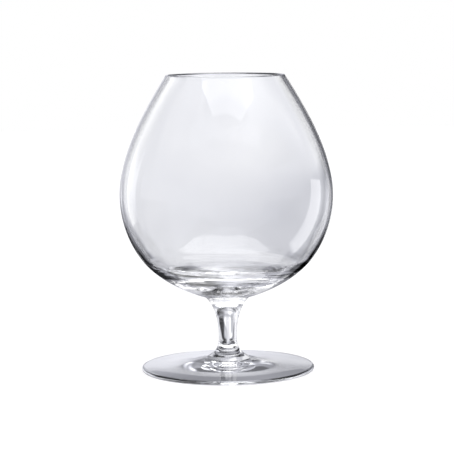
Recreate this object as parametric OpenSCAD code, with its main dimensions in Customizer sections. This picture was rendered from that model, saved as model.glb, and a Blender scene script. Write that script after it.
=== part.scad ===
// Brandy snifter in clear glass, made from three gathers fused while hot:
// a thin blown bowl, a short drawn stem and a spread foot.
// Millimetres. The origin is the middle of the base, on the table, and +Z points up to the rim.

/* [Overall] */
// Height from the table to the top of the rim
glass_h = 153; // [140:1:170]

/* [Bowl] */
// Outside diameter at the widest point
bowl_d = 110; // [102:1:118]
// Height of the widest point above the table
belly_z = 91; // [86:0.5:96]
// Outside diameter where the wall meets the lip
rim_d = 61.2; // [56:0.2:68]
// Lean of the wall at the lip, in degrees from upright
rim_lean = 32.5; // [27:0.5:37]
// Wall thickness at the lip
rim_t = 1.6; // [1.2:0.1:2.2]
// Wall thickness at the widest point
belly_t = 1.3; // [1:0.1:2]
// Wall thickness at the shoulder, where the round of the belly ends below
shoulder_t = 2.2; // [1.8:0.1:3]
// Glass under the middle of the hollow, down to the stem
base_t = 11.5; // [9:0.5:13]
// Angle above the widest point where the round of the belly ends
belly_up = 12.5; // [8:0.5:18]
// Angle below the widest point where the round of the belly ends
belly_down = 35; // [28:1:42]
// Slope of the underside where it meets the stem, in degrees from level
underside_slope = 16.5; // [10:0.5:24]

/* [Stem] */
// Height of the fused joint between bowl and stem
stem_top_z = 38.2; // [36:0.2:41]
// Diameter of the stem's flared top
stem_top_d = 23.4; // [20:0.2:27]
// Rise of the flare at the top, in degrees from level
stem_top_slope = 40; // [32:1:50]
// Diameter at the waist
waist_d = 9.3; // [8:0.1:12]
// Height of the waist above the table
waist_z = 17; // [15:0.5:20]
// Diameter of the stem's spread bottom
stem_bottom_d = 23; // [20:0.2:27]
// Rise of the flare at the bottom, in degrees from level
stem_bottom_slope = 34; // [28:1:42]

/* [Foot] */
// Diameter of the foot
foot_d = 89.5; // [82:0.5:96]
// Height of the foot's middle, where the stem is fused on
foot_hub_h = 6.2; // [5.2:0.1:7.2]
// Thickness of the rounded edge
foot_edge_t = 2.2; // [1.8:0.1:2.8]
// Fall of the upper side beside the stem, in degrees from level
foot_hub_slope = 16; // [10:1:22]
// Fall of the upper side at the edge, in degrees from level
foot_edge_slope = 3; // [1:0.5:5]
// Width of the flat ring that stands on the table
ring_w = 4; // [3:0.5:7]
// Height of the shallow hollow under the middle of the foot
kick_h = 1.6; // [1:0.1:2.2]

/* [Hidden] */
glass = [0.90, 0.92, 0.95, 0.45];

// Steps along each curve, and around the axis
steps = 24;
lip_steps = 14;
$fn = 144;

bowl_r = bowl_d / 2;
lip_r = rim_t / 2;
edge_r = foot_edge_t / 2;
floor_z = stem_top_z + base_t;

// Lengths of the curves' handles, as shares of the straight line between their ends
wall_foot_share = 0.15;
wall_rim_share = 0.62;
under_belly_share = 0.35;
under_stem_share = 0.28;
hollow_side_share = 0.36;
hollow_floor_share = 0.46;
flare_top_share = 0.24;
flare_waist_share = 0.49;
spread_bottom_share = 0.39;
spread_waist_share = 0.55;
foot_hub_share = 0.30;
foot_rim_share = 0.45;
kick_side_share = 0.35;
kick_middle_share = 0.40;

// A unit direction in the outline's plane, by its angle from level
function heading(a) = [cos(a), sin(a)];

// One point of a cubic curve, t from 0 to 1
function on_curve(p, t) =
    pow(1 - t, 3) * p[0] + 3 * t * pow(1 - t, 2) * p[1] + 3 * t * t * (1 - t) * p[2] + pow(t, 3) * p[3];

// A curve's four points, from its ends, the angle it leaves the first by,
// the angle it would leave the last by if walked backwards, and its handles' shares
function curve(a, a_angle, a_share, b, b_angle, b_share) =
    let (reach = norm(b - a))
    [a, a + reach * a_share * heading(a_angle), b + reach * b_share * heading(b_angle), b];

// The points along a curve, without its last one
function along(p, n = steps) = [for (i = [0 : n - 1]) on_curve(p, i / n)];

// An eased change from one value to another, level at both ends
function eased(from, to, t) = from + (to - from) * t * t * (3 - 2 * t);

// Middle of the rounded lip, and where the wall's two faces meet it
lip_centre = [rim_d / 2 - lip_r * cos(rim_lean), glass_h - lip_r];
lip_outside = lip_centre + lip_r * heading(rim_lean);
lip_inside = lip_centre - lip_r * heading(rim_lean);

// A point of the belly's round, whose centre lies on the axis, by its angle from level
function on_belly(a, depth = 0) = [0, belly_z] + (bowl_r - depth) * heading(a);

// Outer face: underside, belly, then the long wall that leans in to the lip
underside = curve([stem_top_d / 2, stem_top_z], underside_slope, under_stem_share,
                  on_belly(-belly_down), -belly_down - 90, under_belly_share);
outer_wall = curve(on_belly(belly_up), belly_up + 90, wall_foot_share,
                   lip_outside, rim_lean - 90, wall_rim_share);

// Inner face: the same wall inside its thickness, then the belly, then the floor of the hollow
inner_wall = curve(on_belly(belly_up, belly_t), belly_up + 90, wall_foot_share,
                   lip_inside, rim_lean - 90, wall_rim_share);
hollow_floor = curve([0, floor_z], 0, hollow_floor_share,
                     on_belly(-belly_down, shoulder_t), -belly_down - 90, hollow_side_share);

function belly_arc(from, to, from_t = 0, to_t = 0) =
    [for (i = [0 : steps - 1]) on_belly(from + (to - from) * i / steps, eased(from_t, to_t, i / steps))];

function reversed(p) = [for (i = [len(p) - 1 : -1 : 0]) p[i]];

// Blown bowl: its outline runs up the outside, over the lip and down the inside to the floor
module bowl() {
    outside = concat(along(underside), belly_arc(-belly_down, belly_up), along(outer_wall));
    lip = [for (i = [0 : lip_steps]) lip_centre + lip_r * heading(rim_lean + 180 * i / lip_steps)];
    inside = concat(along(hollow_floor), belly_arc(-belly_down, belly_up, shoulder_t, belly_t),
                    along(inner_wall));
    color(glass)
        rotate_extrude()
            polygon(concat([[0, stem_top_z]], outside, lip, reversed(inside)));
}

// Drawn stem: a waisted rod that flares to the bowl above and spreads on the foot below
module stem() {
    bottom = [stem_bottom_d / 2, foot_hub_h];
    waist = [waist_d / 2, waist_z];
    top = [stem_top_d / 2, stem_top_z];
    spread = curve(bottom, 180 - stem_bottom_slope, spread_bottom_share, waist, -90, spread_waist_share);
    flare = curve(waist, 90, flare_waist_share, top, 180 + stem_top_slope, flare_top_share);
    color(glass)
        rotate_extrude()
            polygon(concat([[0, foot_hub_h]], along(spread), along(flare), [top, [0, stem_top_z]]));
}

// Spread foot: a flat-bottomed disc with a rounded edge and a shallow hollow underneath
module foot() {
    edge_centre = [foot_d / 2 - edge_r, edge_r];
    upper = curve([stem_bottom_d / 2, foot_hub_h], -foot_hub_slope, foot_hub_share,
                  edge_centre + edge_r * heading(90 - foot_edge_slope), 180 - foot_edge_slope, foot_rim_share);
    edge = [for (i = [0 : lip_steps])
            edge_centre + edge_r * heading((90 - foot_edge_slope) - (180 - foot_edge_slope) * i / lip_steps)];
    hollow = curve([edge_centre[0] - ring_w, 0], 180, kick_side_share, [0, kick_h], 0, kick_middle_share);
    color(glass)
        rotate_extrude()
            polygon(concat([[0, foot_hub_h]], along(upper), edge, along(hollow), [[0, kick_h]]));
}

bowl();
stem();
foot();
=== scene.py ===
"""A clear brandy snifter of three fused gathers of glass, on a pale table in a soft studio."""

import logging
import math
from dataclasses import dataclass
from enum import Enum

import bpy
import numpy as np
from mathutils import Matrix


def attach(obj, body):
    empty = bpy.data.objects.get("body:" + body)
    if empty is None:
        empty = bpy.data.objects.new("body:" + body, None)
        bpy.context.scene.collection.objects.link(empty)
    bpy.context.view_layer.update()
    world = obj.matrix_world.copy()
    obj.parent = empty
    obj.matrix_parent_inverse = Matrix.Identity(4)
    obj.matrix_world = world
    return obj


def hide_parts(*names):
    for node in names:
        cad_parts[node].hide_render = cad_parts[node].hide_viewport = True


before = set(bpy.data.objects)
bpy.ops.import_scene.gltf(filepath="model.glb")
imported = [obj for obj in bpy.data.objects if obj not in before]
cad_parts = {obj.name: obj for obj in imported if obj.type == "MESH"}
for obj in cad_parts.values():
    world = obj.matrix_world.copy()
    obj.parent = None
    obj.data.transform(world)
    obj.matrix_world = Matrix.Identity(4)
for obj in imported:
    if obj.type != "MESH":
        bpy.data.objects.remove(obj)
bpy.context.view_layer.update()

log = logging.getLogger("snifter")
MM = 0.001


# Outlines: each piece is turned about the Z axis from a curve in its own plane, (radius, height) in metres


def heading(angle: float | np.ndarray) -> np.ndarray:
    """Unit direction in the outline's plane, by its angle from level in degrees."""
    a = np.radians(angle)
    return np.stack([np.cos(a), np.sin(a)], axis=-1)


@dataclass(frozen=True)
class Sweep:
    """A cubic curve between two points of an outline.

    Each handle lies along its own heading and is a share of the straight line between the ends.
    """

    start: np.ndarray
    start_angle: float
    start_share: float
    end: np.ndarray
    end_angle: float
    end_share: float

    def points(self, count: int) -> np.ndarray:
        """Points along the curve, both ends included.

        Bernstein form: (1-t)^3 a + 3 t (1-t)^2 b + 3 t^2 (1-t) c + t^3 d.

        Args:
            count: number of points.

        Returns:
            An array of shape (count, 2).
        """
        a, d = np.asarray(self.start, float), np.asarray(self.end, float)
        reach = np.linalg.norm(d - a)
        b = a + reach * self.start_share * heading(self.start_angle)
        c = d + reach * self.end_share * heading(self.end_angle)
        t = np.linspace(0.0, 1.0, count)[:, None]
        return (1 - t) ** 3 * a + 3 * t * (1 - t) ** 2 * b + 3 * t * t * (1 - t) * c + t**3 * d


def joined(*runs: np.ndarray) -> np.ndarray:
    """One outline from runs that each begin where the last one ends. The doubled points are dropped."""
    return np.concatenate([runs[0], *[run[1:] for run in runs[1:]]])


@dataclass
class Turned:
    """A closed solid of revolution about Z.

    The outline starts and ends on the axis and keeps the glass on its left, so that faces point outwards.
    """

    outline: np.ndarray
    around: int = 256

    def mesh(self, name: str) -> bpy.types.Mesh:
        """Builds the surface as a grid: x = r cos(u), y = r sin(u), z = z, with one vertex at each pole.

        Args:
            name: the mesh's name.

        Returns:
            The mesh, smooth all over.
        """
        ring = self.outline[1:-1]
        rows, cols = len(ring), self.around
        u = np.linspace(0.0, 2 * np.pi, cols, endpoint=False)
        grid = np.empty((rows, cols, 3))
        grid[..., 0] = ring[:, :1] * np.cos(u)
        grid[..., 1] = ring[:, :1] * np.sin(u)
        grid[..., 2] = ring[:, 1:]
        poles = np.array([[0, 0, self.outline[0, 1]], [0, 0, self.outline[-1, 1]]])
        coords = np.concatenate([grid.reshape(-1, 3), poles])

        at = np.arange(rows * cols).reshape(rows, cols)
        right = np.roll(at, -1, axis=1)
        quads = np.stack([at[:-1], right[:-1], right[1:], at[1:]], axis=-1).reshape(-1, 4)
        first = np.stack([np.full(cols, rows * cols), right[0], at[0]], axis=-1)
        last = np.stack([np.full(cols, rows * cols + 1), at[-1], right[-1]], axis=-1)

        made = bpy.data.meshes.new(name)
        made.vertices.add(len(coords))
        made.vertices.foreach_set("co", coords.astype(np.float32).ravel())
        corners = np.concatenate([quads.ravel(), first.ravel(), last.ravel()])
        sizes = np.concatenate([np.full(len(quads), 4), np.full(2 * cols, 3)])
        made.loops.add(len(corners))
        made.loops.foreach_set("vertex_index", corners.astype(np.int32))
        made.polygons.add(len(sizes))
        made.polygons.foreach_set("loop_start", np.concatenate([[0], np.cumsum(sizes)[:-1]]).astype(np.int32))
        made.update(calc_edges=True)
        made.shade_smooth()
        made.validate()
        return made


def crease_rings(mesh: bpy.types.Mesh, places: list[tuple[float, float]], near: float = 1e-5) -> None:
    """Keeps the shading sharp along whole rings of the mesh.

    Args:
        mesh: a turned mesh.
        places: (radius, height) of each ring.
        near: how close a vertex lies to the ring that it is on.
    """
    co = np.empty(len(mesh.vertices) * 3, np.float32)
    mesh.vertices.foreach_get("co", co)
    co = co.reshape(-1, 3)
    ends = np.empty(len(mesh.edges) * 2, np.int32)
    mesh.edges.foreach_get("vertices", ends)
    ends = ends.reshape(-1, 2)
    sharp = np.zeros(len(mesh.edges), bool)
    for radius, height in places:
        on = (np.abs(np.hypot(co[:, 0], co[:, 1]) - radius) < near) & (np.abs(co[:, 2] - height) < near)
        sharp |= on[ends].all(axis=1)
    layer = mesh.attributes.get("sharp_edge") or mesh.attributes.new("sharp_edge", "BOOLEAN", "EDGE")
    layer.data.foreach_set("value", sharp)


def fuse_discs(mesh: bpy.types.Mesh, discs: list[tuple[float, float]], near: float = 1e-5) -> None:
    """Gives the flat faces where two gathers are fused the second material.

    Args:
        mesh: a turned mesh with two material slots.
        discs: (radius, height) of each fused disc.
        near: how close to the disc's plane its faces lie.
    """
    centre = np.empty(len(mesh.polygons) * 3, np.float32)
    mesh.polygons.foreach_get("center", centre)
    centre = centre.reshape(-1, 3)
    slot = np.zeros(len(mesh.polygons), np.int32)
    for radius, height in discs:
        slot[(np.abs(centre[:, 2] - height) < near) & (np.hypot(centre[:, 0], centre[:, 1]) < radius)] = 1
    mesh.polygons.foreach_set("material_index", slot)


# Finishes


class Mixed(Enum):
    """What a Mix node blends: its data type, then the places of its two inputs and of its result."""

    VALUES = ("FLOAT", 2, 3, 0)
    COLOURS = ("RGBA", 6, 7, 2)


class Link:
    """Short ways to add nodes to one tree."""

    def __init__(self, tree: bpy.types.NodeTree) -> None:
        """Keeps the tree and clears it."""
        self.tree = tree
        tree.nodes.clear()

    def node(self, kind: str, **values: object) -> bpy.types.Node:
        """Adds a node and sets its properties.

        Args:
            kind: the node's type name.
            **values: properties of the node.

        Returns:
            The new node.
        """
        made = self.tree.nodes.new(kind)
        for name, value in values.items():
            setattr(made, name, value)
        return made

    def join(self, source: bpy.types.NodeSocket, target: bpy.types.NodeSocket) -> None:
        """Links one socket to another."""
        self.tree.links.new(source, target)

    def feed(self, value: object, target: bpy.types.NodeSocket) -> None:
        """Links a socket to the target, or gives the target a plain value."""
        if isinstance(value, bpy.types.NodeSocket):
            self.join(value, target)
        else:
            target.default_value = value

    def math(self, operation: str, *inputs: object) -> bpy.types.NodeSocket:
        """Adds a Math node.

        Args:
            operation: the node's operation.
            *inputs: numbers or sockets.

        Returns:
            Its value.
        """
        made = self.node("ShaderNodeMath", operation=operation)
        for place, value in enumerate(inputs):
            self.feed(value, made.inputs[place])
        return made.outputs[0]

    def mix(self, kind: Mixed, factor: object, first: object, second: object) -> bpy.types.NodeSocket:
        """Adds a Mix node.

        Args:
            kind: what it blends.
            factor: 0 for the first, 1 for the second, a number or a socket like the two below.
            first: a value, a colour or a socket.
            second: the same.

        Returns:
            The blend.
        """
        data_type, low, high, result = kind.value
        made = self.node("ShaderNodeMix", data_type=data_type)
        for place, value in ((0, factor), (low, first), (high, second)):
            self.feed(value, made.inputs[place])
        return made.outputs[result]


# How fast each noise of the ripple changes along X, Y and Z, per metre
WAVE_RATE = (26.0, 26.0, 17.0)
SHIVER_RATE = (70.0, 70.0, 120.0)
SWIRL_RATE = (330.0, 170.0, 1.0)

# The ripple's noises: plain, or with finer waves on top
PLAIN_DETAIL = 1.0
FINE_DETAIL = 2.0

# The shares of a place's X and Y that the swirl's two noise coordinates add to its distance from the axis
SWIRL_LEAN = {"X": 0.07, "Y": 0.05}


def ripple_group() -> bpy.types.NodeTree:
    """Node group: the faint waviness of blown glass, as a height.

    Noises on Object coordinates, each stretched its own way: long drawn waves, a fine shiver, and rings
    around the axis that only the thick bottom of a bowl holds, where it was turned. The rings, Swirl, are
    a noise of the distance from the axis that changes slowly on the way round. They fade in from the
    height Still down to Lively, and out again from Seat down to Joint.

    Returns:
        The group, with inputs Vector, Wave, Shiver, Swirl, Lively, Still, Seat and Joint and the output
        Height.
    """
    tree = bpy.data.node_groups.new("blown_ripple", "ShaderNodeTree")
    tree.interface.new_socket("Vector", in_out="INPUT", socket_type="NodeSocketVector")
    for name in ("Wave", "Shiver", "Swirl", "Lively", "Still", "Seat", "Joint"):
        tree.interface.new_socket(name, in_out="INPUT", socket_type="NodeSocketFloat")
    tree.interface.new_socket("Height", in_out="OUTPUT", socket_type="NodeSocketFloat")
    link = Link(tree)
    given, made = link.node("NodeGroupInput"), link.node("NodeGroupOutput")
    heights = []
    split = link.node("ShaderNodeSeparateXYZ")
    link.join(given.outputs["Vector"], split.inputs[0])
    squares = (link.math("POWER", split.outputs[axis], 2.0) for axis in "XY")
    far = link.math("SQRT", link.math("ADD", *squares))
    around = link.node("ShaderNodeCombineXYZ")
    for axis, lean in SWIRL_LEAN.items():
        link.join(link.math("MULTIPLY_ADD", split.outputs[axis], lean, far), around.inputs[axis])
    for source, rate, detail, share in (
        (given.outputs["Vector"], WAVE_RATE, PLAIN_DETAIL, "Wave"),
        (given.outputs["Vector"], SHIVER_RATE, FINE_DETAIL, "Shiver"),
        (around.outputs["Vector"], SWIRL_RATE, PLAIN_DETAIL, "Swirl"),
    ):
        stretch = link.node("ShaderNodeMapping")
        stretch.inputs["Scale"].default_value = rate
        noise = link.node("ShaderNodeTexNoise")
        noise.inputs["Scale"].default_value = 1.0
        noise.inputs["Detail"].default_value = detail
        link.join(source, stretch.inputs["Vector"])
        link.join(stretch.outputs["Vector"], noise.inputs["Vector"])
        heights.append(link.math("MULTIPLY", noise.outputs["Fac"], given.outputs[share]))
    for start, full in (("Still", "Lively"), ("Joint", "Seat")):
        fade = link.node("ShaderNodeMapRange", interpolation_type="SMOOTHSTEP")
        link.join(split.outputs["Z"], fade.inputs["Value"])
        link.join(given.outputs[start], fade.inputs["From Min"])
        link.join(given.outputs[full], fade.inputs["From Max"])
        heights[2] = link.math("MULTIPLY", heights[2], fade.outputs["Result"])
    link.join(link.math("ADD", link.math("ADD", *heights[:2]), heights[2]), made.inputs["Height"])
    return tree


# The film's noise, and the span of its values over which a cloud fades in
FILM_DETAIL = 3.0
FILM_ROUGHNESS = 0.45
CLOUD_FROM = 0.38
CLOUD_TO = 0.68


def film_group() -> bpy.types.NodeTree:
    """Node group: the faint uneven film that washing and handling leave on glass, as a mask of soft clouds.

    Returns:
        The group, with inputs Vector and Scale and the output Mask.
    """
    tree = bpy.data.node_groups.new("faint_film", "ShaderNodeTree")
    tree.interface.new_socket("Vector", in_out="INPUT", socket_type="NodeSocketVector")
    tree.interface.new_socket("Scale", in_out="INPUT", socket_type="NodeSocketFloat")
    tree.interface.new_socket("Mask", in_out="OUTPUT", socket_type="NodeSocketFloat")
    link = Link(tree)
    given, made = link.node("NodeGroupInput"), link.node("NodeGroupOutput")
    noise = link.node("ShaderNodeTexNoise")
    noise.inputs["Detail"].default_value = FILM_DETAIL
    noise.inputs["Roughness"].default_value = FILM_ROUGHNESS
    link.join(given.outputs["Vector"], noise.inputs["Vector"])
    link.join(given.outputs["Scale"], noise.inputs["Scale"])
    cloud = link.node("ShaderNodeMapRange", interpolation_type="SMOOTHSTEP")
    cloud.inputs["From Min"].default_value = CLOUD_FROM
    cloud.inputs["From Max"].default_value = CLOUD_TO
    link.join(noise.outputs["Fac"], cloud.inputs["Value"])
    link.join(cloud.outputs["Result"], made.inputs["Mask"])
    return tree


@dataclass(frozen=True)
class ClearGlass:
    """Clear fire-polished glass that lets lamps through, with a faint ripple of hand work and a fainter film.

    The four heights lively, still, seat and joint, in metres, say where the ripple's rings lie.
    """

    name: str
    ripple: bpy.types.NodeTree
    film: bpy.types.NodeTree
    tint: tuple[float, float, float] = (0.997, 0.998, 1.0)
    filmed: tuple[float, float, float] = (0.985, 0.988, 0.993)
    clouds: float = 24.0
    bend: float = 1.5
    wave: float = 0.45
    shiver: float = 0.05
    swirl: float = 5.0
    lively: float = 0.052
    still: float = 0.062
    seat: float = 0.043
    joint: float = 0.038
    depth: float = 0.00004
    shade: float = 0.90
    turns: int = 4

    def material(self) -> bpy.types.Material:
        """Builds the material.

        Returns:
            Glass by a Principled shader, and a nearly clear stand-in for lamps' rays. Light that has been
            thrown back inside as often as turns says goes straight out by the stand-in too, because it would
            be lost.
        """
        made = bpy.data.materials.new(self.name)
        made.use_nodes = True
        link = Link(made.node_tree)
        out = link.node("ShaderNodeOutputMaterial")
        glass = link.node("ShaderNodeBsdfPrincipled")
        glass.inputs["Roughness"].default_value = 0.0
        glass.inputs["IOR"].default_value = self.bend
        glass.inputs["Transmission Weight"].default_value = 1.0
        place = link.node("ShaderNodeTexCoord")

        film = link.node("ShaderNodeGroup", node_tree=self.film)
        film.inputs["Scale"].default_value = self.clouds
        link.join(place.outputs["Object"], film.inputs["Vector"])
        shade = link.mix(Mixed.COLOURS, film.outputs["Mask"], (*self.tint, 1.0), (*self.filmed, 1.0))
        link.join(shade, glass.inputs["Base Color"])

        ripple = link.node("ShaderNodeGroup", node_tree=self.ripple)
        for name in ("Wave", "Shiver", "Swirl", "Lively", "Still", "Seat", "Joint"):
            ripple.inputs[name].default_value = getattr(self, name.lower())
        link.join(place.outputs["Object"], ripple.inputs["Vector"])
        bump = link.node("ShaderNodeBump")
        bump.inputs["Strength"].default_value = 1.0
        bump.inputs["Distance"].default_value = self.depth
        link.join(ripple.outputs["Height"], bump.inputs["Height"])
        link.join(bump.outputs["Normal"], glass.inputs["Normal"])

        clear = link.node("ShaderNodeBsdfTransparent")
        clear.inputs["Color"].default_value = (self.shade, self.shade, self.shade, 1.0)
        path = link.node("ShaderNodeLightPath")
        either = link.node("ShaderNodeMixShader")
        spent = link.math("GREATER_THAN", path.outputs["Glossy Depth"], self.turns - 0.5)
        link.join(link.math("MAXIMUM", path.outputs["Is Shadow Ray"], spent), either.inputs[0])
        link.join(glass.outputs[0], either.inputs[1])
        link.join(clear.outputs[0], either.inputs[2])
        link.join(either.outputs[0], out.inputs["Surface"])
        return made


@dataclass(frozen=True)
class FusedJoint:
    """The melted face between two gathers: nothing of it is left to see."""

    name: str = "fused_joint"

    def material(self) -> bpy.types.Material:
        """Builds a wholly clear material."""
        made = bpy.data.materials.new(self.name)
        made.use_nodes = True
        link = Link(made.node_tree)
        out = link.node("ShaderNodeOutputMaterial")
        clear = link.node("ShaderNodeBsdfPrincipled")
        clear.inputs["Alpha"].default_value = 0.0
        link.join(clear.outputs[0], out.inputs["Surface"])
        return made


# The three gathers


@dataclass(frozen=True)
class Joint:
    """A flat fused joint: its radius and its height, in metres."""

    radius: float
    height: float

    def face(self, count: int = 12) -> np.ndarray:
        """Points across the joint from the axis out to its edge."""
        return np.linspace((0, self.height), (self.radius, self.height), count)


FOOT_JOINT = Joint(11.5 * MM, 6.2 * MM)
BOWL_JOINT = Joint(11.7 * MM, 38.2 * MM)


@dataclass
class Gather:
    """One gather of glass. The kinds below say how it is shaped, and their shares are those of Sweep."""

    joints: list[Joint]
    glass: bpy.types.Material
    fused: bpy.types.Material
    node: str = ""
    steps: int = 64

    def outline(self) -> np.ndarray:
        """The closed outline, from the axis to the axis."""
        raise NotImplementedError

    def build(self) -> bpy.types.Object:
        """Turns the outline and stands the piece in for its CAD node.

        Returns:
            The finished object, at the origin.
        """
        name = f"{self.node}_glass"
        mesh = Turned(self.outline()).mesh(name)
        piece = bpy.data.objects.new(name, mesh)
        bpy.context.scene.collection.objects.link(piece)
        self.dress(piece)
        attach(piece, "root")
        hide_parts(self.node)
        log.info("%s: %d faces", name, len(mesh.polygons))
        return piece

    def dress(self, piece: bpy.types.Object) -> None:
        """Gives the piece its glass, clear joints and crisp joint rings."""
        piece.data.materials.append(self.glass)
        piece.data.materials.append(self.fused)
        rings = [(joint.radius, joint.height) for joint in self.joints]
        crease_rings(piece.data, rings)
        fuse_discs(piece.data, rings)


@dataclass
class Foot(Gather):
    """The spread foot: a disc that rises to its hub, with a rounded edge and a shallow hollow underneath."""

    node: str = "foot"
    across: float = 89.46 * MM
    edge: float = 2.2 * MM
    hub_slope: float = 16.0
    edge_slope: float = 3.0
    ring: float = 4.0 * MM
    kick: float = 1.6 * MM
    hub_share: float = 0.30
    rim_share: float = 0.45
    kick_side_share: float = 0.35
    kick_middle_share: float = 0.40
    edge_steps: int = 24
    ring_steps: int = 6

    def outline(self) -> np.ndarray:
        """From the middle of the hollow underneath, out over the edge and up to the hub."""
        (hub,) = self.joints
        r = self.edge / 2
        middle = np.array([self.across / 2 - r, r])
        inner = (middle[0] - self.ring, 0)
        edge = middle + r * heading(np.linspace(-90, 90 - self.edge_slope, self.edge_steps))
        top = (hub.radius, hub.height)
        hollow = Sweep((0, self.kick), 0, self.kick_middle_share, inner, 180, self.kick_side_share)
        upper = Sweep(edge[-1], 180 - self.edge_slope, self.rim_share, top, -self.hub_slope, self.hub_share)
        return joined(
            hollow.points(self.steps),
            np.linspace(inner, edge[0], self.ring_steps),
            edge,
            upper.points(self.steps),
            hub.face()[::-1],
        )


@dataclass
class Stem(Gather):
    """The drawn stem: a waisted rod, flared to the bowl and spread on the foot."""

    node: str = "stem"
    waist: float = 9.3 * MM
    waist_height: float = 17.0 * MM
    top_slope: float = 40.0
    bottom_slope: float = 34.0
    top_share: float = 0.24
    bottom_share: float = 0.39
    waist_top_share: float = 0.49
    waist_bottom_share: float = 0.55

    def outline(self) -> np.ndarray:
        """From the lower joint, in to the waist and out to the upper joint."""
        low, high = self.joints
        bottom = (low.radius, low.height)
        waist = (self.waist / 2, self.waist_height)
        top = (high.radius, high.height)
        leaning = 180 - self.bottom_slope
        spread = Sweep(bottom, leaning, self.bottom_share, waist, -90, self.waist_bottom_share)
        flare = Sweep(waist, 90, self.waist_top_share, top, 180 + self.top_slope, self.top_share)
        return joined(low.face(), spread.points(self.steps), flare.points(self.steps), high.face()[::-1])


@dataclass
class Bowl(Gather):
    """The blown bowl: a round belly, a long wall that leans in to a rounded lip, and a thick bottom."""

    node: str = "bowl"
    height: float = 152.99 * MM
    across: float = 109.94 * MM
    belly_height: float = 91.0 * MM
    rim: float = 61.2 * MM
    rim_lean: float = 32.5
    lip: float = 1.6 * MM
    belly_wall: float = 1.3 * MM
    shoulder_wall: float = 2.2 * MM
    base: float = 11.5 * MM
    belly_up: float = 12.5
    belly_down: float = 35.0
    underside_slope: float = 16.5
    under_stem_share: float = 0.28
    under_belly_share: float = 0.35
    wall_foot_share: float = 0.15
    wall_rim_share: float = 0.62
    floor_share: float = 0.46
    side_share: float = 0.36
    bead_steps: int = 28

    def on_belly(self, angle: float | np.ndarray, depth: float | np.ndarray = 0.0) -> np.ndarray:
        """A point of the belly's round, whose centre is on the axis.

        Args:
            angle: degrees above level.
            depth: how far inside the outer face.

        Returns:
            The point, or one per angle.
        """
        out = np.asarray(self.across / 2 - depth)
        return np.array([0.0, self.belly_height]) + out[..., None] * heading(angle)

    def long_wall(self, foot: np.ndarray, rim: np.ndarray) -> Sweep:
        """One face of the wall, from where the belly's round ends to the lip."""
        up, down = self.belly_up + 90, self.rim_lean - 90
        return Sweep(foot, up, self.wall_foot_share, rim, down, self.wall_rim_share)

    def outline(self) -> np.ndarray:
        """From the joint, up the outside, over the lip and down the inside to the middle of the hollow."""
        (seat,) = self.joints
        up, down = self.belly_up, self.belly_down
        r = self.lip / 2
        inward = np.array([math.cos(math.radians(self.rim_lean)), 1.0])
        lip = np.array([self.rim / 2, self.height]) - r * inward
        bead = lip + r * heading(self.rim_lean + np.linspace(0, 180, self.bead_steps))
        bottom, hollow = (seat.radius, seat.height), (0, seat.height + self.base)
        outer, inner = self.on_belly(-down), self.on_belly(-down, self.shoulder_wall)
        slope, shares = self.underside_slope, (self.under_stem_share, self.under_belly_share)
        underside = Sweep(bottom, slope, shares[0], outer, -down - 90, shares[1])
        floor = Sweep(hollow, 0, self.floor_share, inner, -down - 90, self.side_share)
        wall = self.long_wall(self.on_belly(up), bead[0])
        lining = self.long_wall(self.on_belly(up, self.belly_wall), bead[-1])
        t = np.linspace(0, 1, self.steps)
        ease = t * t * (3 - 2 * t)
        depth = self.shoulder_wall + (self.belly_wall - self.shoulder_wall) * ease
        angle = -down + (up + down) * t
        return joined(
            seat.face(),
            underside.points(self.steps),
            self.on_belly(angle),
            wall.points(self.steps),
            bead,
            lining.points(self.steps)[::-1],
            self.on_belly(angle, depth)[::-1],
            floor.points(self.steps)[::-1],
        )


# The studio


# Stands in for zero where a direction is divided by how far it points ahead
NEARLY_ZERO = 0.001

# Where an octagonal softbox's corners are cut, as a share of its half width and half height together
CORNER_SHARE = 0.76


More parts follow.
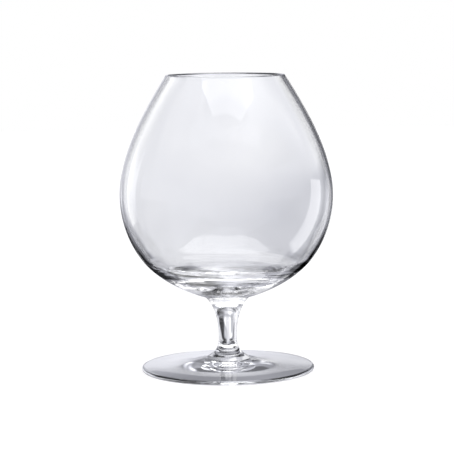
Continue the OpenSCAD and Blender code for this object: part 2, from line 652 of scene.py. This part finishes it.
def panel_group() -> bpy.types.NodeTree:
    """Node group: a soft-edged rectangular panel, far away, as a mask over directions.

    The direction is turned by minus the panel's azimuth and elevation, so that the panel is ahead. The
    mask falls smoothly from 1 to 0 across the edges of |side / ahead| and |up / ahead|, and across the
    corners, where the two add up to Corner. It is 0 behind.

    Returns:
        The group, with inputs Direction, Azimuth, Elevation, Roll, Half Width, Half Height, Corner and
        Edge, and output Mask.
    """
    tree = bpy.data.node_groups.new("far_panel", "ShaderNodeTree")
    tree.interface.new_socket("Direction", in_out="INPUT", socket_type="NodeSocketVector")
    for name in ("Azimuth", "Elevation", "Roll", "Half Width", "Half Height", "Corner", "Edge"):
        tree.interface.new_socket(name, in_out="INPUT", socket_type="NodeSocketFloat")
    tree.interface.new_socket("Mask", in_out="OUTPUT", socket_type="NodeSocketFloat")
    link = Link(tree)
    given, made = link.node("NodeGroupInput"), link.node("NodeGroupOutput")
    turned = given.outputs["Direction"]
    for kind, angle in (("Z_AXIS", "Azimuth"), ("X_AXIS", "Elevation"), ("Y_AXIS", "Roll")):
        turn = link.node("ShaderNodeVectorRotate", rotation_type=kind)
        link.join(turned, turn.inputs["Vector"])
        link.join(given.outputs[angle], turn.inputs["Angle"])
        turned = turn.outputs["Vector"]
    split = link.node("ShaderNodeSeparateXYZ")
    link.join(turned, split.inputs[0])
    ahead = link.math("MAXIMUM", split.outputs["Y"], NEARLY_ZERO)
    side, up = (link.math("ABSOLUTE", link.math("DIVIDE", split.outputs[axis], ahead)) for axis in "XZ")
    mask = link.math("GREATER_THAN", split.outputs["Y"], 0.0)
    for away, limit in ((side, "Half Width"), (up, "Half Height"), (link.math("ADD", side, up), "Corner")):
        fade = link.node("ShaderNodeMapRange", interpolation_type="SMOOTHERSTEP")
        link.join(away, fade.inputs["Value"])
        link.join(link.math("ADD", given.outputs[limit], given.outputs["Edge"]), fade.inputs["From Min"])
        link.join(link.math("SUBTRACT", given.outputs[limit], given.outputs["Edge"]), fade.inputs["From Max"])
        mask = link.math("MULTIPLY", mask, fade.outputs["Result"])
    link.join(mask, made.inputs["Mask"])
    return tree


@dataclass(frozen=True)
class Panel:
    """A softbox or a dark flag of the studio, by the direction that it is seen in. Angles are in degrees.

    Azimuth 0 is straight behind the glass as the photograph sees it, and positive to the right.
    """

    azimuth: float
    elevation: float
    half_width: float
    half_height: float
    level: float
    edge: float = 4.0
    roll: float = 0.0
    octagonal: bool = False

    def sizes(self) -> dict[str, float]:
        """What the far_panel group is given: angles in radians, and half sizes as tangents."""
        wide, high, edge = (math.tan(math.radians(a)) for a in (self.half_width, self.half_height, self.edge))
        return {
            "Azimuth": math.radians(self.azimuth),
            "Elevation": math.radians(-self.elevation),
            "Roll": math.radians(self.roll),
            "Half Width": wide,
            "Half Height": high,
            "Corner": (wide + high) * CORNER_SHARE if self.octagonal else wide + high + 2 * edge,
            "Edge": edge,
        }


@dataclass(frozen=True)
class Layer:
    """The studio as one kind of ray sees it.

    The surround without panels is a row of (elevation, level) pairs. Later panels are in front.
    """

    surround: tuple[tuple[float, float], ...]
    panels: tuple[Panel, ...]

    def bare(self, link: Link, direction: bpy.types.NodeSocket) -> bpy.types.NodeSocket:
        """The surround's level without panels, eased from one elevation to the next.

        Args:
            link: the world's tree.
            direction: the direction looked in.

        Returns:
            The level.
        """
        split = link.node("ShaderNodeSeparateXYZ")
        link.join(direction, split.inputs[0])
        height = link.math("MULTIPLY_ADD", link.math("ARCSINE", split.outputs["Z"]), 1 / math.pi, 0.5)
        ramp = link.node("ShaderNodeValToRGB")
        ramp.color_ramp.interpolation = "EASE"
        stops = ramp.color_ramp.elements
        while len(stops) < len(self.surround):
            stops.new(1.0)
        for stop, (elevation, level) in zip(stops, self.surround):
            stop.position = (elevation + 90) / 180
            stop.color = (level, level, level, 1.0)
        link.join(height, ramp.inputs["Fac"])
        return ramp.outputs["Color"]

    def level(self, link: Link, direction: bpy.types.NodeSocket) -> bpy.types.NodeSocket:
        """The level of the surround with its panels.

        Args:
            link: the world's tree.
            direction: the direction looked in.

        Returns:
            The level.
        """
        group = bpy.data.node_groups.get("far_panel") or panel_group()
        level = self.bare(link, direction)
        for panel in self.panels:
            mask = link.node("ShaderNodeGroup", node_tree=group)
            link.join(direction, mask.inputs["Direction"])
            for name, value in panel.sizes().items():
                mask.inputs[name].default_value = value
            level = link.mix(Mixed.VALUES, mask.outputs["Mask"], level, panel.level)
        return level


# The eight-sided softbox overhead, which both kinds of ray see
OVERHEAD = Panel(90, 88, 35, 33.5, 2.2, 0.9, octagonal=True)

# What the outside of the glass mirrors
MIRRORED = Layer(
    surround=(
        (-90, 1.70),
        (-55, 0.45),
        (-40, 0.35),
        (-25, 0.45),
        (-12, 0.65),
        (-2, 0.60),
        (15, 0.60),
        (45, 0.45),
        (90, 0.90),
    ),
    panels=(
        # The tall softbox at the left, the narrow one at the right, and a flag and a strip beside it
        Panel(-55, 10, 10.5, 27, 2.1, 1.5, -5),
        Panel(72, -18, 10, 25, 3.1, 1.5, 14),
        Panel(51, -5, 4.5, 22, 0, 2.5, 6),
        Panel(39.5, -14.5, 6, 16, 1.4, 1.5, 40),
        # Dark flags behind the glass, level with it and a little lower
        Panel(18, -19.5, 7.5, 12, 0, 3, 17),
        Panel(-18, -22, 14.5, 8, 0, 3, 66),
        Panel(13.5, -1, 9.5, 19.5, 0, 6, -8),
        # Wide dark flags at both sides, with a light above each
        Panel(-90, -12, 24, 30, 0, 10, 20),
        Panel(107, -4, 16, 35, 0.15, 13, -5),
        Panel(-130, 34, 51, 17, 0.6, 10, 25),
        Panel(105, 50, 40, 5, 2.4, 14, 30),
        # Dark below at both sides, and two bright strips low behind the glass
        Panel(-114, -61, 52, 15.5, 0, 4, -28),
        Panel(107, -55, 37, 20, 0.1, 4, 30),
        Panel(-47, -59.5, 6, 19, 3.4, 5.5, -36),
        Panel(25.5, -40.5, 12, 3.5, 3.4, 3, -42),
        # Dark flags above and below what is behind the glass, and a light in front of the upper ones
        Panel(-25, 27, 38, 15, 0.15, 8),
        Panel(39.5, 17.5, 8.5, 15, 0.05, 1.5, -21),
        Panel(-34.5, 15, 8.5, 10.5, 0, 6.5, -4),
        Panel(18, -37.5, 19, 4, 0, 9, -28),
        Panel(-17, -50.5, 17.5, 2.5, 0, 5, -14),
        Panel(-15.5, 40.5, 26, 16, 0.9, 8.5, -70),
        # The light that the foot mirrors from straight behind
        Panel(-2, 2, 4, 13, 1, 5, 5),
        OVERHEAD,
        # Soft lights over the camera, at both sides and behind the camera
        Panel(180, 52, 38, 7, 0.95, 2.5),
        Panel(-102, 10, 27, 13, 0.6, 3),
        Panel(113, 10, 25, 12, 0.7, 3),
        Panel(178, 10, 40, 12, 0.6, 3),
    ),
)

# What shows through the glass
THROUGH = Layer(
    surround=(
        (-90, 1.70),
        (-55, 1.70),
        (-40, 1.15),
        (-25, 0.90),
        (-12, 0.83),
        (-2, 0.87),
        (15, 0.95),
        (45, 0.45),
        (90, 0.90),
    ),
    panels=(
        # The dark flags behind the glass, which the bottom of the bowl and the stem bend into bands
        Panel(-28.5, -31.5, 25.5, 6.5, 0.05, 2.5, 44),
        Panel(21.5, -16, 16.5, 19.5, 0, 5, 5),
        Panel(56.5, -17, 23, 25.5, 0.75, 4, -42),
        Panel(-41.5, -49.5, 10.5, 10, 0, 4, 49),
        Panel(39, -51, 19.5, 14.5, 0.05, 3, -31),
        # A grey panel high at each side, and a small bright light low at each side
        Panel(-96, 29, 36, 15, 0.65, 8),
        Panel(94, 39, 34, 19, 0.5, 12, -5),
        Panel(-33, -67, 12, 11, 3, 1.5, 60),
        Panel(32, -70, 7, 12, 3, 1.5, -5),
        # Narrow dark flags low at the left
        Panel(-19, -19.5, 4, 23.5, 0, 13.5, 36),
        Panel(-10.5, -43, 18, 6.5, 0, 2, -39),
        Panel(-69, -61, 12, 6, 0, 1.5, 40),
        # Lighter panels between the flags, and a wide one low in front of the glass
        Panel(10, 1.5, 2, 7, 1.9, 7.5, -39),
        Panel(-8.5, 17, 7, 29, 1.5, 4, -17),
        Panel(9, -8, 8, 4, 0.65, 4, 20),
        Panel(-2.5, -21.5, 8, 4, 0.8, 2, -14),
        Panel(150, -53, 38, 8, 1.3, 7, -5),
        OVERHEAD,
        # Dark and grey flags behind the glass, from its own level up to the softbox overhead
        Panel(27.5, 7, 15, 14.5, 0.03, 7, 18),
        Panel(-18, 2.5, 6, 10.5, 0.6, 3, -7),
        Panel(11, 10, 31, 2, 0.35, 6, 5),
        Panel(16.5, 21, 37, 1.5, 0, 10),
        Panel(15.5, 32, 34, 8, 0, 4, -15),
        Panel(8.5, 37, 38.5, 4, 0, 7, 17),
        Panel(3, 62, 40, 8, 0, 6, -5),
        # A light from far below, in front of the foot
        Panel(180, -74, 14, 9, 0.95, 3),
    ),
)


@dataclass(frozen=True)
class Studio:
    """The plain soft studio: a pale table, and a light grey surround with softboxes and flags."""

    mirrored: Layer = MIRRORED
    through: Layer = THROUGH
    clean: tuple[float, float, float] = (0.993, 0.996, 1.012)
    cool: tuple[float, float, float] = (0.945, 0.957, 1.06)
    cool_level: float = 0.3
    clean_level: float = 1.2
    calm: float = 0.6
    paper: float = 0.53
    table_grey: float = 0.5
    table_radius: float = 2.0
    table_sides: int = 96

    def world(self) -> None:
        """The surround: white to the camera and on the table, softboxes and flags on light grey to the glass.

        Its colour goes from cool, where it is dim, to clean, where it is bright. Mirrored light counts as
        dimmer by the share calm, so that reflections stay a little cooler.
        """
        world = bpy.data.worlds.new("studio")
        bpy.context.scene.world = world
        world.use_nodes = True
        link = Link(world.node_tree)
        out = link.node("ShaderNodeOutputWorld")
        direction = link.node("ShaderNodeTexCoord").outputs["Generated"]
        path = link.node("ShaderNodeLightPath").outputs
        inside = path["Is Transmission Ray"]
        level = link.mix(
            Mixed.VALUES, inside, self.mirrored.level(link, direction), self.through.level(link, direction)
        )
        plain = link.math("MAXIMUM", path["Is Camera Ray"], path["Is Diffuse Ray"])
        bright = link.node("ShaderNodeMapRange", interpolation_type="SMOOTHSTEP")
        calm = link.math("MULTIPLY_ADD", inside, 1 - self.calm, self.calm)
        link.join(link.math("MULTIPLY", level, calm), bright.inputs["Value"])
        bright.inputs["From Min"].default_value = self.cool_level
        bright.inputs["From Max"].default_value = self.clean_level
        tint = link.mix(Mixed.COLOURS, bright.outputs["Result"], (*self.cool, 1.0), (*self.clean, 1.0))
        glow = link.node("ShaderNodeBackground")
        link.join(link.mix(Mixed.COLOURS, plain, tint, (1.0, 1.0, 1.0, 1.0)), glow.inputs["Color"])
        link.join(link.mix(Mixed.VALUES, plain, level, 1.0), glow.inputs["Strength"])
        link.join(glow.outputs[0], out.inputs["Surface"])

    def table(self) -> bpy.types.Object:
        """The pale table: a flat disc under the foot, white to the camera but for the glass's faint shadow.

        Returns:
            The table.
        """
        u = np.linspace(0, 2 * np.pi, self.table_sides, endpoint=False)
        rim = self.table_radius * np.stack([np.cos(u), np.sin(u), np.zeros(self.table_sides)], axis=-1)
        mesh = bpy.data.meshes.new("table")
        mesh.from_pydata(rim.tolist(), [], [list(range(self.table_sides))])
        top = bpy.data.objects.new("table", mesh)
        bpy.context.scene.collection.objects.link(top)
        made = bpy.data.materials.new("pale_table")
        made.use_nodes = True
        link = Link(made.node_tree)
        out = link.node("ShaderNodeOutputMaterial")
        paint = link.node("ShaderNodeBsdfDiffuse")
        paint.inputs["Color"].default_value = (self.table_grey, self.table_grey, self.table_grey, 1.0)
        lift = link.node("ShaderNodeEmission")
        path = link.node("ShaderNodeLightPath")
        link.join(link.math("MULTIPLY", path.outputs["Is Camera Ray"], self.paper), lift.inputs["Strength"])
        both = link.node("ShaderNodeAddShader")
        link.join(paint.outputs[0], both.inputs[0])
        link.join(lift.outputs[0], both.inputs[1])
        link.join(both.outputs[0], out.inputs["Surface"])
        mesh.materials.append(made)
        top.visible_transmission = False
        top.visible_glossy = False
        return top


@dataclass(frozen=True)
class Viewpoint:
    """The photograph's camera: in front of the glass, a little above it, looking slightly down."""

    distance: float = 955.24 * MM
    height: float = 185.01 * MM
    aside: float = 0.2 * MM
    pitch: float = 6.608
    roll: float = 0.6146
    lens: float = 147.556
    sensor: float = 36.0
    nearest: float = 0.05
    farthest: float = 50.0

    def place(self) -> None:
        """Makes the camera and gives it to the scene."""
        data = bpy.data.cameras.new("photographer")
        data.lens, data.sensor_width = self.lens, self.sensor
        data.clip_start, data.clip_end = self.nearest, self.farthest
        camera = bpy.data.objects.new("photographer", data)
        bpy.context.scene.collection.objects.link(camera)
        tilt = Matrix.Rotation(math.radians(90 - self.pitch), 4, "X")
        lean = Matrix.Rotation(math.radians(-self.roll), 4, "Z")
        camera.matrix_world = Matrix.Translation((self.aside, -self.distance, self.height)) @ tilt @ lean
        bpy.context.scene.camera = camera


def main() -> None:
    """Builds the camera, the studio and the three gathers of glass, from the foot up."""
    logging.basicConfig(level=logging.INFO, format="%(name)s: %(message)s")
    bpy.context.scene.view_settings.view_transform = "Standard"
    Viewpoint().place()
    studio = Studio()
    studio.world()
    studio.table()
    glass = ClearGlass("clear_glass", ripple_group(), film_group()).material()
    fused = FusedJoint().material()
    for gather in (
        Foot([FOOT_JOINT], glass, fused),
        Stem([FOOT_JOINT, BOWL_JOINT], glass, fused),
        Bowl([BOWL_JOINT], glass, fused),
    ):
        gather.build()


if __name__ == "__main__":
    main()
